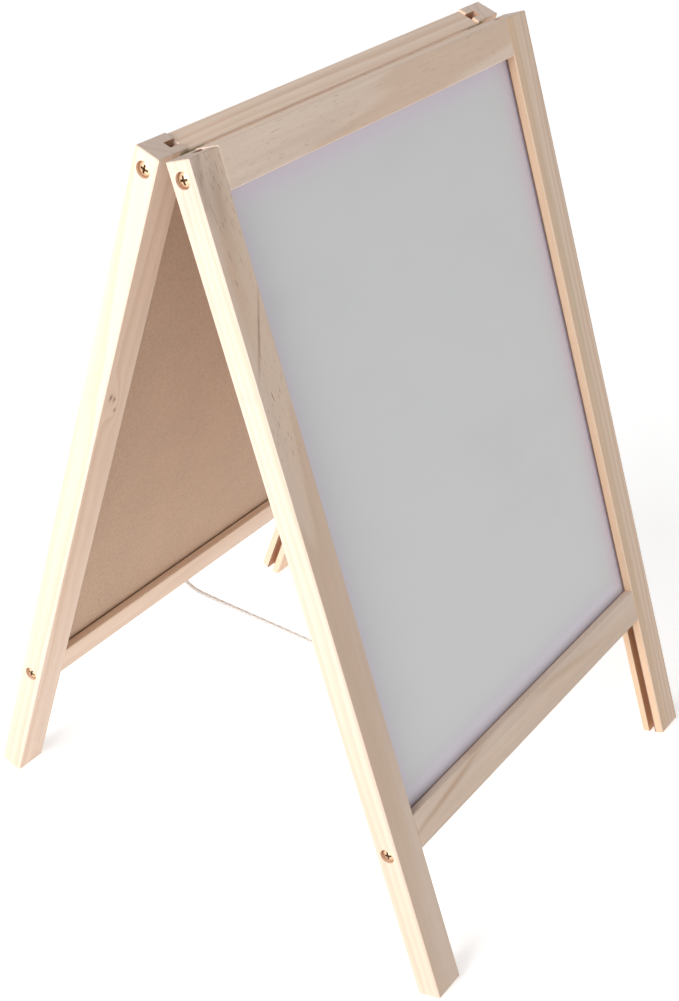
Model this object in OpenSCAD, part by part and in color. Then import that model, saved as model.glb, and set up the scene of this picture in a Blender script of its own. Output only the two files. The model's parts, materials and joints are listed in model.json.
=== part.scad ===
// Tabletop A-frame easel for a child: two pine frames joined by two butt hinges at the top.
// The front frame holds a white drawing board and the rear frame a chalkboard. A cord between
// the bottom rails stops the frames spreading. Millimetres. X runs across the boards, the white
// board faces -Y and +Z is up. The origin is on the table, under the hinges, on the centre line.
//
// A frame is drawn upright around the hinge axis and then tilted into place: its own +Y points
// out of the easel, and its own Z runs along the stiles, with z = 0 at the hinge axis.

/* [Frames] */
// Width of a frame over its two stiles
frame_w = 314; // [280:1:360]
// Length of a stile
stile_len = 500; // [460:1:560]
// Width of a stile, across the frame
stile_w = 22; // [20:0.5:28]
// Thickness of the stiles and rails
stock_t = 15.5; // [15:0.5:20]
// Height of a rail, along the stiles
rail_h = 22.5; // [21:0.5:28]
// Distance from the stiles' top ends to the upper edge of the bottom rail
bottom_rail_at = 386; // [340:1:400]
// Angle between the two frames when the easel stands open
spread = 38; // [32:1:42]
// Chamfer on every edge of the wood
ease = 0.5; // [0.3:0.1:0.8]
// How far the front top rail stands above its stiles
front_rail_rise = 0.3; // [0:0.1:1]
// How far the rear top rail lies below its stiles
rear_rail_drop = 1.2; // [0:0.1:2]
// Height planed off each heel, so that it rests on a narrow flat
heel_cut = 0.8; // [0.6:0.1:1.5]

/* [Boards] */
// Distance from the wood's inner face to the groove that holds the board
groove_in = 4.8; // [4:0.1:6]
// Width of the groove
groove_w = 4.6; // [4.4:0.1:5]
// Depth of the groove
groove_d = 8; // [6:0.5:9]
// Thickness of the hardboard
board_t = 3; // [2.5:0.1:3.2]
// Thickness of the drawing surface on the hardboard
sheet_t = 0.4; // [0.3:0.1:0.6]
// Gap between the white surface and the groove's outer wall
white_set_back = 1; // [0.2:0.1:1]
// The same gap for the chalk surface
chalk_set_back = 0.2; // [0.2:0.1:1]

/* [Hinges] */
// Length of a hinge, along its pin
hinge_len = 18; // [16:0.5:22]
// Distance from the easel's centre line to the middle of a hinge
hinge_x = 131.5; // [120:0.5:133]
// Depth of the pin below the stiles' top ends
pin_drop = 2.5; // [2:0.1:4]
// Distance from the pin to the wood's inner faces
pin_to_wood = 3; // [3:0.1:3.1]
// Height of a hinge leaf, from the pin down
leaf_h = 10; // [9:0.5:12]
// Thickness of a hinge leaf
leaf_t = 1; // [1:0.1:1.2]
// Outer diameter of the knuckles
barrel_d = 4.2; // [4.1:0.1:4.6]
// Diameter of the hinge pin
pin_d = 2; // [1.6:0.1:2.2]

/* [Screws] */
// Diameter of the counterbores in the stiles' outer sides
counterbore_d = 9; // [8.6:0.1:10]
// Depth of the counterbores
counterbore_depth = 3; // [2.8:0.2:6]
// Diameter of the frame screws' heads
screw_head_d = 8; // [7.4:0.1:8.4]
// Thread diameter of the frame screws
screw_d = 4; // [3.5:0.1:4.5]
// Length of the frame screws under the head
screw_len = 38; // [34:1:40]
// Distance from the stiles' top ends to the upper screws
upper_screw_at = 9.8; // [9.8:0.1:11]
// Distance from the bottom rail's upper edge to the lower screws
lower_screw_at = 14.4; // [12:0.2:16]

/* [Stay cord] */
// Place of the cord across the easel, from the centre line
cord_x = -6; // [-20:1:20]
// Diameter of the cord
cord_d = 3; // [2:0.5:3]
// Wire diameter of the staples that hold the cord
staple_wire = 1.2; // [1:0.1:1.4]
// Length of a staple's legs in the wood
staple_leg = 9; // [7:1:11]

/* [Hidden] */
$fn = 48;

LEFT = -1;
RIGHT = 1;

pine = "#e6cdb4";
hardboard = "#b89a80";
brass = "#8a7a4a";
zinc = "#d8b070";

// Clearance around the hinge knuckles, the pin, the fixings and the boards' edges
knuckle_gap = 0.2;
pin_play = 0.05;
slip = 0.05;
board_play = 0.5;
// How far a cut runs past the face that it starts from
past = 1;

barrel_r = barrel_d / 2;
face_off = pin_to_wood;
top_z = pin_drop;
foot_z = top_z - stile_len;
pin_z = -foot_z * cos(spread / 2) - face_off * sin(spread / 2) - heel_cut;

inner_x = frame_w / 2 - stile_w;
mid_y = face_off + stock_t / 2;
front_top_z = top_z + front_rail_rise;
rear_top_z = top_z - rear_rail_drop;
bottom_rail_z = top_z - bottom_rail_at;
underside_z = bottom_rail_z - rail_h;
upper_screw_z = top_z - upper_screw_at;
lower_screw_z = bottom_rail_z - lower_screw_at;

board_top_z = rear_top_z - rail_h + groove_d - board_play;
board_foot_z = bottom_rail_z - groove_d;
groove_out = face_off + groove_in + groove_w;

thread_pitch = 1.8;
thread_depth = 0.6;
// Share of a shank that is threaded
thread_share = 0.6;
head_h = 2.4;
// Cross recess of a frame screw: span, depth and width of an arm
recess_span = 4.8;
recess_depth = 2;
recess_w = 1.3;

leaf_screw_d = 2.2;
leaf_screw_head_d = 4.2;
leaf_screw_len = 8;
leaf_recess_span = 2.3;
leaf_recess_depth = 0.6;
leaf_recess_w = 0.6;
leaf_screw_z = -3.7;
leaf_screw_dx = 5.4;

// Middle of a staple: beside the rail's inner edge, round the cord's centre line
staple_in = 4.5;
staple_y = face_off + staple_in;
staple_z = underside_z - cord_d / 2;
staple_r = (cord_d + staple_wire) / 2 + slip;
cord_sides = 8;

// The cord's route, from its end under the front rail to its end under the rear rail: y and z
cord_route = [
    [-144, 87.2], [-139.6, 85.7], [-135.6, 84.1], [-132, 82.1], [-128, 80.9], [-122, 80.2],
    [-112, 80], [-96, 79.9], [-76, 79.9], [-50, 79.9], [-25, 79.9], [0, 79.9],
    [25, 79.9], [50, 79.9], [76, 79.9], [96, 79.9], [112, 80], [122, 80.2],
    [128, 80.9], [132, 82.1], [135.6, 84.1], [139.6, 85.7], [144, 87.2]
];

// Tilts the rear frame, drawn upright, into its place
module in_rear_frame() {
    translate([0, 0, pin_z]) rotate([spread / 2, 0, 0]) children();
}

// The same for the front frame, which is the rear frame's mirror image
module in_front_frame() {
    mirror([0, 1, 0]) in_rear_frame() children();
}

// Rectangle a by b with chamfered corners
function eased_rect(a, b) = [
    [ease, 0], [a - ease, 0], [a, ease], [a, b - ease],
    [a - ease, b], [ease, b], [0, b - ease], [0, ease]
];

// Block of wood with all its edges chamfered
module eased_block(size) {
    intersection() {
        linear_extrude(size.z) polygon(eased_rect(size.x, size.y));
        translate([0, size.y, 0]) rotate([90, 0, 0])
            linear_extrude(size.y) polygon(eased_rect(size.x, size.z));
        rotate([90, 0, 90])
            linear_extrude(size.x) polygon(eased_rect(size.y, size.z));
    }
}

// Everything under the table top
module below_table() {
    deep = 2 * rail_h;
    translate([-frame_w, -stile_len, -deep]) cube([2 * frame_w, 2 * stile_len, deep]);
}

// Hole for a frame screw, from the outer side of the stile inwards
module frame_screw_hole(side, z) {
    translate([side * frame_w / 2, mid_y, z]) rotate([0, -side * 90, 0]) {
        translate([0, 0, -past]) cylinder(h = counterbore_depth + past, d = counterbore_d);
        cylinder(h = counterbore_depth + screw_len + past, d = screw_d + 2 * slip);
    }
}

// Pilot holes for one hinge's leaf screws, from the wood's inner face
module leaf_screw_holes(side) {
    for (dx = [-leaf_screw_dx, leaf_screw_dx])
        translate([side * hinge_x + dx, face_off - past, leaf_screw_z]) rotate([-90, 0, 0])
            cylinder(h = leaf_screw_len + 2 * past, d = leaf_screw_d + 2 * slip);
}

module stile(side) {
    color(pine) difference() {
        translate([side > 0 ? inner_x : -frame_w / 2, face_off, foot_z])
            eased_block([stile_w, stock_t, stile_len]);
        translate([side > 0 ? inner_x - past : -inner_x - groove_d, face_off + groove_in, foot_z - past])
            cube([groove_d + past, groove_w, stile_len + 2 * past]);
        frame_screw_hole(side, upper_screw_z);
        frame_screw_hole(side, lower_screw_z);
        leaf_screw_holes(side);
    }
}

// Rail, butted between the stiles. up: the board's groove is in its upper edge
module rail(z_top, screw_z, up) {
    difference() {
        translate([-inner_x, face_off, z_top - rail_h])
            eased_block([2 * inner_x, stock_t, rail_h]);
        translate([-frame_w / 2, face_off + groove_in, up ? z_top - groove_d : z_top - rail_h - past])
            cube([frame_w, groove_w, groove_d + past]);
        frame_screw_hole(LEFT, screw_z);
        frame_screw_hole(RIGHT, screw_z);
    }
}

module top_rail(z_top) {
    color(pine) difference() {
        rail(z_top, upper_screw_z, false);
        leaf_screw_holes(LEFT);
        leaf_screw_holes(RIGHT);
    }
}

module bottom_rail() {
    color(pine) difference() {
        rail(bottom_rail_z, lower_screw_z, true);
        for (dx = [-staple_r, staple_r])
            translate([cord_x + dx, staple_y, underside_z - past])
                cylinder(h = staple_leg + 2 * past, d = staple_wire + 2 * slip);
    }
}

// Slab that fills the frame from groove to groove
module slab(y, thickness, colour) {
    half = inner_x + groove_d - board_play;
    color(colour) translate([-half, y, board_foot_z])
        cube([2 * half, thickness, board_top_z - board_foot_z]);
}

module board(set_back) slab(groove_out - set_back - sheet_t - board_t, board_t, hardboard);
module sheet(set_back, colour) slab(groove_out - set_back - sheet_t, sheet_t, colour);

// Threaded shank along +Z from z = 0, with a point
module shank(length, d) {
    core = d / 2 - thread_depth;
    turns = floor(length * thread_share / thread_pitch);
    start = length - d - turns * thread_pitch;
    crests = [for (i = [0 : turns - 1]) each [
        [core, start + i * thread_pitch],
        [d / 2, start + (i + 0.5) * thread_pitch]
    ]];
    rotate_extrude() polygon(concat(
        [[0, 0], [core, 0]], crests, [[core, length - d], [0, length]]
    ));
}

// Cross recess, sunk from z = 0 into +Z
module cross_recess(span, depth, width) {
    for (turn = [0, 90])
        rotate([0, 0, turn]) translate([-span / 2, -width / 2, -past])
            cube([span, width, depth + past]);
}

// Pan-head wood screw along +Z, with the underside of its head at z = 0
module pan_screw() {
    dome_r = screw_head_d;
    difference() {
        union() {
            shank(screw_len, screw_d);
            intersection() {
                translate([0, 0, -head_h]) cylinder(h = head_h, d = screw_head_d);
                translate([0, 0, dome_r - head_h]) sphere(r = dome_r, $fn = 96);
            }
        }
        translate([0, 0, -head_h]) cross_recess(recess_span, recess_depth, recess_w);
    }
}

module frame_screw(side, z) {
    color(zinc)
        translate([side * (frame_w / 2 - counterbore_depth), mid_y, z])
            rotate([0, -side * 90, 0]) pan_screw();
}

// Countersunk screw along +Z, with the top of its head at z = 0
module leaf_screw() {
    difference() {
        union() {
            translate([0, 0, leaf_t]) shank(leaf_screw_len - leaf_t, leaf_screw_d);
            cylinder(h = leaf_t, r1 = leaf_screw_head_d / 2, r2 = leaf_screw_d / 2 - slip);
        }
        cross_recess(leaf_recess_span, leaf_recess_depth, leaf_recess_w);
    }
}

module leaf_screws(side) {
    color(brass) for (dx = [-leaf_screw_dx, leaf_screw_dx])
        translate([side * hinge_x + dx, face_off - leaf_t, leaf_screw_z])
            rotate([-90, 0, 0]) leaf_screw();
}

// One stretch of the hinge barrel: third k of three, from its left end
module barrel(k, r, trim) {
    third = hinge_len / 3;
    translate([k * third + trim / 2, 0, 0]) rotate([0, 90, 0]) cylinder(h = third - trim, r = r);
}

// Hinge leaf on the wood's inner face. middle: it carries the middle knuckle
module hinge_leaf(side, middle) {
    own = middle ? [1] : [0, 2];
    other = middle ? [0, 2] : [1];
    bore = middle ? pin_d / 2 + pin_play : pin_d / 2;
    color(brass) translate([side * hinge_x - hinge_len / 2, 0, 0]) difference() {
        union() {
            for (k = own) barrel(k, barrel_r, knuckle_gap);
            translate([0, face_off - leaf_t, -leaf_h]) cube([hinge_len, leaf_t, leaf_h]);
        }
        for (k = other) barrel(k, barrel_r + knuckle_gap, -knuckle_gap);
        translate([-past, 0, 0]) rotate([0, 90, 0]) cylinder(h = hinge_len + 2 * past, r = bore);
        for (dx = [-leaf_screw_dx, leaf_screw_dx])
            translate([hinge_len / 2 + dx, face_off - leaf_t, leaf_screw_z]) rotate([-90, 0, 0])
                cylinder(h = leaf_t, r1 = leaf_screw_head_d / 2 + slip, r2 = leaf_screw_d / 2);
    }
}

module hinge_pin(side) {
    color(brass) translate([side * hinge_x - hinge_len / 2, 0, pin_z]) rotate([0, 90, 0])
        cylinder(h = hinge_len, d = pin_d);
}

// Wire staple under a bottom rail, arched round the cord
module cord_staple() {
    color("silver") translate([cord_x, staple_y, staple_z]) {
        rotate([90, 180, 0]) rotate_extrude(angle = 180) translate([staple_r, 0]) circle(d = staple_wire);
        for (dx = [-staple_r, staple_r])
            translate([dx, 0, 0]) cylinder(h = cord_d / 2 + staple_leg, d = staple_wire);
    }
}

// Ring of the cord's tube round point i of a route, square to the way from its neighbours
function route_dir(p, i) =
    let (a = p[max(i - 1, 0)], b = p[min(i + 1, len(p) - 1)]) (b - a) / norm(b - a);
function ring(p, i) =
    let (t = route_dir(p, i))
    [for (k = [0 : cord_sides - 1])
        let (across = cord_d / 2 * cos(360 * k / cord_sides), up = cord_d / 2 * sin(360 * k / cord_sides))
        [cord_x + across, p[i].x - up * t.y, p[i].y + up * t.x]];

module stay_cord() {
    n = cord_sides;
    last = len(cord_route) - 1;
    points = [for (i = [0 : last]) each ring(cord_route, i)];
    sides = [for (i = [0 : last - 1], k = [0 : n - 1])
        [i * n + k, i * n + (k + 1) % n, (i + 1) * n + (k + 1) % n, (i + 1) * n + k]];
    start = [for (k = [0 : n - 1]) n - 1 - k];
    end = [for (k = [0 : n - 1]) last * n + k];
    color("ivory") polyhedron(points, concat([start], sides, [end]), convexity = 4);
}

module front_stile(side) difference() {
    in_front_frame() stile(side);
    below_table();
}

module rear_stile(side) difference() {
    in_rear_frame() stile(side);
    below_table();
}

front_stile(LEFT);  // front_left_stile
front_stile(RIGHT);  // front_right_stile
in_front_frame() top_rail(front_top_z);  // front_top_rail
in_front_frame() bottom_rail();  // front_bottom_rail
in_front_frame() board(white_set_back);  // front_board
in_front_frame() sheet(white_set_back, "white");  // white_sheet
in_front_frame() frame_screw(LEFT, upper_screw_z);  // front_upper_left_screw
in_front_frame() frame_screw(RIGHT, upper_screw_z);  // front_upper_right_screw
in_front_frame() frame_screw(LEFT, lower_screw_z);  // front_lower_left_screw
in_front_frame() frame_screw(RIGHT, lower_screw_z);  // front_lower_right_screw
rear_stile(LEFT);  // rear_left_stile
rear_stile(RIGHT);  // rear_right_stile
in_rear_frame() top_rail(rear_top_z);  // rear_top_rail
in_rear_frame() bottom_rail();  // rear_bottom_rail
in_rear_frame() board(chalk_set_back);  // rear_board
in_rear_frame() sheet(chalk_set_back, "#3a4a42");  // chalk_sheet
in_rear_frame() frame_screw(LEFT, upper_screw_z);  // rear_upper_left_screw
in_rear_frame() frame_screw(RIGHT, upper_screw_z);  // rear_upper_right_screw
in_rear_frame() frame_screw(LEFT, lower_screw_z);  // rear_lower_left_screw
in_rear_frame() frame_screw(RIGHT, lower_screw_z);  // rear_lower_right_screw
in_front_frame() hinge_leaf(LEFT, false);  // left_hinge_front_leaf
in_rear_frame() hinge_leaf(LEFT, true);  // left_hinge_rear_leaf
hinge_pin(LEFT);  // left_hinge_pin
in_front_frame() leaf_screws(LEFT);  // left_hinge_front_screws
in_rear_frame() leaf_screws(LEFT);  // left_hinge_rear_screws
in_front_frame() hinge_leaf(RIGHT, false);  // right_hinge_front_leaf
in_rear_frame() hinge_leaf(RIGHT, true);  // right_hinge_rear_leaf
hinge_pin(RIGHT);  // right_hinge_pin
in_front_frame() leaf_screws(RIGHT);  // right_hinge_front_screws
in_rear_frame() leaf_screws(RIGHT);  // right_hinge_rear_screws
in_front_frame() cord_staple();  // front_cord_staple
in_rear_frame() cord_staple();  // rear_cord_staple
stay_cord();
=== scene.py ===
"""Looks of a child's tabletop easel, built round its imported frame.

Two pine frames are hinged together at the top. The front one holds a white drawing board and the
rear one a chalkboard, and a braided cord between the bottom rails keeps them from spreading.
Metres, +Z up. X runs across the boards, and the white board faces -Y.
"""

import json
import logging
import math
from dataclasses import dataclass
from enum import Enum

import bpy
import numpy as np
from mathutils import Matrix, Vector

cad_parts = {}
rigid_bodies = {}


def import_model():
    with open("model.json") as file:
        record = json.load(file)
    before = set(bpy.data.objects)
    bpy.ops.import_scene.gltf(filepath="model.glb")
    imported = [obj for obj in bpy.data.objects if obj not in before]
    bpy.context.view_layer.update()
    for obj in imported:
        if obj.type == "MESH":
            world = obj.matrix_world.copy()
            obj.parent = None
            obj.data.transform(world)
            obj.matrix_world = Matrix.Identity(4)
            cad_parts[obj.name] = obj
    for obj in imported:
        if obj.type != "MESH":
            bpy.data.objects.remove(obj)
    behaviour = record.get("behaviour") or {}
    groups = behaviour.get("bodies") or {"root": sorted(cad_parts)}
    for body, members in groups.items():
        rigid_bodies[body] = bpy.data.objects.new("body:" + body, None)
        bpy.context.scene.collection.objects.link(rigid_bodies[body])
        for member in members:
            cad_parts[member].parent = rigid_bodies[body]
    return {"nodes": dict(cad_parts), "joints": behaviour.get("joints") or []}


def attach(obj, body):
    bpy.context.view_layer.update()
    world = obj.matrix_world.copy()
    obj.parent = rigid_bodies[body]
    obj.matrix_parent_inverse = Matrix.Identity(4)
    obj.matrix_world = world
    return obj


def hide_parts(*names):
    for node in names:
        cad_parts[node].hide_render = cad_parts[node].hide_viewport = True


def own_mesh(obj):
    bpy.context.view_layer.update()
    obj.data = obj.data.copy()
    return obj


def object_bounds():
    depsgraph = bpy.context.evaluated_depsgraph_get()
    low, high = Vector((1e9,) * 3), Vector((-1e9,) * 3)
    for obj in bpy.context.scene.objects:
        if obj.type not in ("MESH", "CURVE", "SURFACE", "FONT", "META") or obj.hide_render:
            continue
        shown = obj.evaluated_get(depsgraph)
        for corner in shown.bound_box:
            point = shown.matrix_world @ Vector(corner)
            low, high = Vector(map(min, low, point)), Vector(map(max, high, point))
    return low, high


LOG = logging.getLogger("easel")
Colour = tuple[float, float, float]
Triple = tuple[float, float, float]


def clear_scene() -> None:
    """Removes the objects of Blender's start-up file."""
    for item in list(bpy.data.objects):
        bpy.data.objects.remove(item)


clear_scene()
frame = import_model()
CAD_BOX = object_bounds()


# ---------------------------------------------------------------- shader building


class Signal:
    """One output of a shader node. Arithmetic on it adds Math nodes."""

    def __init__(self, shader: "Shader", socket: bpy.types.NodeSocket | None) -> None:
        """Wraps the socket of a node that stands in the shader."""
        self.shader = shader
        self.socket = socket

    def out(self, key: int | str) -> "Signal":
        """Another output of the same node."""
        return Signal(self.shader, self.socket.node.outputs[key])

    def __add__(self, other: "Signal | float") -> "Signal":
        """Sum of the two."""
        return self.shader.math("ADD", self, other)

    __radd__ = __add__

    def __sub__(self, other: "Signal | float") -> "Signal":
        """This value less the other."""
        return self.shader.math("SUBTRACT", self, other)

    def __rsub__(self, other: "Signal | float") -> "Signal":
        """The other value less this one."""
        return self.shader.math("SUBTRACT", other, self)

    def __mul__(self, other: "Signal | float") -> "Signal":
        """Product of the two."""
        return self.shader.math("MULTIPLY", self, other)

    __rmul__ = __mul__

    def __truediv__(self, other: "Signal | float") -> "Signal":
        """This value divided by the other."""
        return self.shader.math("DIVIDE", self, other)

    def __rtruediv__(self, other: "Signal | float") -> "Signal":
        """The other value divided by this one."""
        return self.shader.math("DIVIDE", other, self)

    def __abs__(self) -> "Signal":
        """Size of the value."""
        return self.shader.math("ABSOLUTE", self)


class Shader:
    """The nodes of one material or world while they are being put together."""

    def __init__(self, owner: bpy.types.Material | bpy.types.World) -> None:
        """Starts with no nodes.

        Args:
            owner: the material or world that the nodes belong to.
        """
        owner.use_nodes = True
        self.owner = owner
        self.tree = owner.node_tree
        self.tree.nodes.clear()

    @classmethod
    def material(cls, name: str) -> "Shader":
        """Starts a new material."""
        return cls(bpy.data.materials.new(name))

    def node(
        self,
        kind: str,
        settings: dict[str, object] | None = None,
        sockets: dict[int | str, object] | None = None,
        output: int | str = 0,
    ) -> Signal:
        """Adds a node, sets it up and joins its inputs.

        Args:
            kind: the node's Blender type.
            settings: its properties, which are set first.
            sockets: values or signals for its inputs, by name or place.
            output: the output that the result stands for.

        Returns:
            The signal of that output, which is empty on a node without outputs.
        """
        made = self.tree.nodes.new(kind)
        for name, value in (settings or {}).items():
            setattr(made, name, value)
        for key, value in (sockets or {}).items():
            if isinstance(value, Signal):
                self.tree.links.new(value.socket, made.inputs[key])
            else:
                made.inputs[key].default_value = value
        return Signal(self, made.outputs[output] if made.outputs else None)

    def math(self, operation: str, *values: Signal | float) -> Signal:
        """A Math node on one to three values."""
        return self.node("ShaderNodeMath", {"operation": operation}, dict(enumerate(values)))

    def vector(self, operation: str, *values: Signal | Triple) -> Signal:
        """A Vector Math node on one or two vectors."""
        return self.node("ShaderNodeVectorMath", {"operation": operation}, dict(enumerate(values)))

    def scaled(self, colour: Signal | Triple, factor: Signal) -> Signal:
        """A colour or vector times one number."""
        sockets = {0: colour, "Scale": factor}
        return self.node("ShaderNodeVectorMath", {"operation": "SCALE"}, sockets)

    def mixed(self, factor: Signal, low: Signal | Colour, high: Signal | Colour) -> Signal:
        """Goes from one colour to another.

        Args:
            factor: how far to go, from 0 to 1.
            low: the colour at 0.
            high: the colour at 1.

        Returns:
            The colour between them.
        """
        sockets: dict[int, object] = {0: factor}
        for key, end in ((6, low), (7, high)):
            sockets[key] = end if isinstance(end, Signal) else (*end, 1.0)
        return self.node("ShaderNodeMix", {"data_type": "RGBA"}, sockets, 2)

    def rise(self, value: Signal, low: float, high: float) -> Signal:
        """Smooth step that is 0 under low and 1 over high."""
        sockets = {"Value": value, "From Min": low, "From Max": high}
        return self.node("ShaderNodeMapRange", {"interpolation_type": "SMOOTHSTEP"}, sockets)

    def fall(self, value: Signal, low: float, high: float) -> Signal:
        """Smooth step that is 1 under low and 0 over high."""
        return 1.0 - self.rise(value, low, high)

    def band(self, value: Signal, low: float, high: float, slack: float) -> Signal:
        """1 from low to high, and 0 from slack outside them."""
        return self.rise(value, low - slack, low) * self.fall(value, high, high + slack)

    def reach(self, first: Signal, second: Signal) -> Signal:
        """Distance with these two sides: sqrt(first2 + second2)."""
        return self.math("SQRT", first * first + second * second)

    def bell(self, first: Signal, second: Signal) -> Signal:
        """Round peak of height 1: exp(-(first2 + second2))."""
        return self.math("EXPONENT", (first * first + second * second) * -1.0)

    def noise(self, place: Signal, density: Triple, detail: float = 2.0) -> Signal:
        """Noise from 0 to 1.

        Args:
            place: where it is read, in metres.
            density: features per metre along each axis.
            detail: how many finer layers it has.

        Returns:
            The noise.
        """
        spread = self.vector("MULTIPLY", place, density)
        sockets = {"Vector": spread, "Scale": 1.0, "Detail": detail}
        return self.node("ShaderNodeTexNoise", sockets=sockets)

    def cells(self, place: Signal, density: Triple) -> Signal:
        """Distance to the nearest of a scatter of points, in cell widths."""
        spread = self.vector("MULTIPLY", place, density)
        return self.node("ShaderNodeTexVoronoi", sockets={"Vector": spread, "Scale": 1.0})

    def split(self, vector: Signal) -> tuple[Signal, Signal, Signal]:
        """The three components of a vector."""
        first = self.node("ShaderNodeSeparateXYZ", sockets={0: vector})
        return first, first.out(1), first.out(2)

    def surface(
        self,
        sockets: dict[str, object],
        height: Signal | None = None,
        relief: float = 0.0,
    ) -> bpy.types.Material:
        """Ends the material with a Principled shader.

        Args:
            sockets: values or signals for the shader's inputs.
            height: bump height from 0 to 1, if the surface has relief.
            relief: depth in metres that a height of 1 stands for.

        Returns:
            The finished material.
        """
        if height is not None:
            bump = self.node("ShaderNodeBump", sockets={"Height": height, "Distance": relief})
            sockets = {**sockets, "Normal": bump}
        principled = self.node("ShaderNodeBsdfPrincipled", sockets=sockets)
        self.node("ShaderNodeOutputMaterial", sockets={"Surface": principled})
        return self.owner


@dataclass(frozen=True)
class Spot:
    """The shaded point of a piece. Its place has the parts across, outward and along, in metres."""

    shader: Shader
    place: Signal
    across: Signal
    outward: Signal
    along: Signal


@dataclass(frozen=True)
class Grain:
    """Where a pattern sits: its origin, and columns that point across, outwards and along."""

    origin: Vector
    turn: Matrix

    def spot(self, shader: Shader) -> Spot:
        """Object coordinates, measured from the origin and turned onto the columns.

        Args:
            shader: the shader that reads them.

        Returns:
            The shaded point.
        """
        sockets = {
            "Vector": shader.node("ShaderNodeTexCoord", output="Object"),
            "Location": tuple(self.origin),
            "Rotation": tuple(self.turn.to_euler("XYZ")),
        }
        place = shader.node("ShaderNodeMapping", {"vector_type": "TEXTURE"}, sockets)
        return Spot(shader, place, *shader.split(place))


# ---------------------------------------------------------------- finishes


@dataclass(frozen=True)
class Knot:
    """A small knot: its place along and across the piece from its middle, and its radius."""

    along: float
    across: float
    radius: float

    def peak(self, spot: Spot, width: float, length: float) -> Signal:
        """1 at the knot, fading over so many of its radii across and along the grain.

        Args:
            spot: the shaded point.
            width: reach across the grain, in radii.
            length: reach along the grain, in radii.

        Returns:
            The mask.
        """
        side = (spot.across - self.across) / (self.radius * width)
        end = (spot.along - self.along) / (self.radius * length)
        return spot.shader.bell(side, end)


@dataclass(frozen=True)
class Streak:
    """A coloured streak in the wood: its middle, its size, and its lean across the grain."""

    along: float
    across: float
    length: float
    width: float
    lean: float
    colour: Colour
    strength: float

    def mask(self, spot: Spot, wander: Signal) -> Signal:
        """The strength on the streak's line, fading over its width and its length.

        Args:
            spot: the shaded point.
            wander: from 0 to 1; it moves the streak sideways by up to its own width.

        Returns:
            The mask.
        """
        beyond = spot.along - self.along
        side = (spot.across - self.across - beyond * self.lean) / self.width + (wander - 0.5) * 2.0
        return spot.shader.bell(side, beyond / self.length) * self.strength


@dataclass(frozen=True)
class Milling:
    """Cuts in one timber, measured from its middle in its own pattern's directions."""

    half_width: float
    half_thickness: float
    groove_side: int
    groove_walls: tuple[float, float]
    groove_depth: float = 0.008
    bores: tuple[float, ...] = ()
    bore_radius: float = 0.0045
    bore_depth: float = 0.003
    seam_width: float = 0.0009
    arris_reach: float = 0.0008
    slack: float = 0.0003
    bore_tint: float = 0.28
    rim_tint: float = 0.3

    def inwards(self, spot: Spot) -> Signal:
        """Depth under the edge that has the groove."""
        return self.half_width - spot.across * self.groove_side

    def inner(self, spot: Spot) -> Signal:
        """1 at the edge with the groove, falling to 0 two thirds of the way across."""
        return spot.shader.rise(spot.across * self.groove_side / self.half_width, -0.3, 1.1)

    def broad(self, spot: Spot) -> Signal:
        """1 on the two broad faces, 0 at and on the narrow ones."""
        return spot.shader.rise(self.half_width - abs(spot.across), 0.0003, 0.0012)

    def arris(self, spot: Spot) -> Signal:
        """1 on the long edges, falling to 0 on both faces at arris_reach from the edge.

        The distance from an edge is the larger of half_width - |across| and
        half_thickness - |outward|.

        Args:
            spot: the shaded point.

        Returns:
            The mask.
        """
        side = self.half_width - abs(spot.across)
        face = self.half_thickness - abs(spot.outward)
        return spot.shader.fall(spot.shader.math("MAXIMUM", side, face), 0.0, self.arris_reach)

    def seam(self, spot: Spot) -> Signal:
        """1 on the painted shadow line beside the groove's outer wall, on the edge that the board
        meets.

        Args:
            spot: the shaded point.

        Returns:
            The mask.
        """
        shader = spot.shader
        wall = self.groove_walls[1]
        line = shader.rise(spot.outward, wall - 0.0002, wall)
        end = shader.fall(spot.outward, wall + 0.6 * self.seam_width, wall + self.seam_width)
        return line * end * shader.fall(self.inwards(spot), 0.0001, 0.0006)

    def burnish(self, spot: Spot) -> Signal:
        """How much painted shade darkens the groove, and how much browner the bores are.

        It is 1 in the groove, which lies between its two walls, from the inner edge to its
        depth: painted shade, as the inside of the groove lies in shadow. A bore lies within its
        radius of its own axis, from the outer edge to its depth, and has its own tint and that of a
        fine ring round it.

        Args:
            spot: the shaded point.

        Returns:
            The mask.
        """
        shader = spot.shader
        inwards = self.inwards(spot)
        mask = shader.band(spot.outward, *self.groove_walls, self.slack)
        mask = mask * shader.rise(inwards, 0.0001, 0.0009)
        mask = mask * shader.fall(inwards, self.groove_depth, self.groove_depth + self.slack)
        under = self.half_width + spot.across * self.groove_side
        for place in self.bores:
            reach = shader.reach(spot.outward, spot.along - place)
            within = shader.fall(reach, self.bore_radius, self.bore_radius + self.slack)
            sunk = shader.rise(under, 0.0, self.slack)
            sunk = sunk * shader.fall(under, self.bore_depth, self.bore_depth + self.slack)
            rim = within * shader.rise(reach, self.bore_radius - self.slack, self.bore_radius)
            bore = within * sunk * self.bore_tint + rim * self.rim_tint
            mask = shader.math("MAXIMUM", mask, bore)
        return mask


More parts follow.
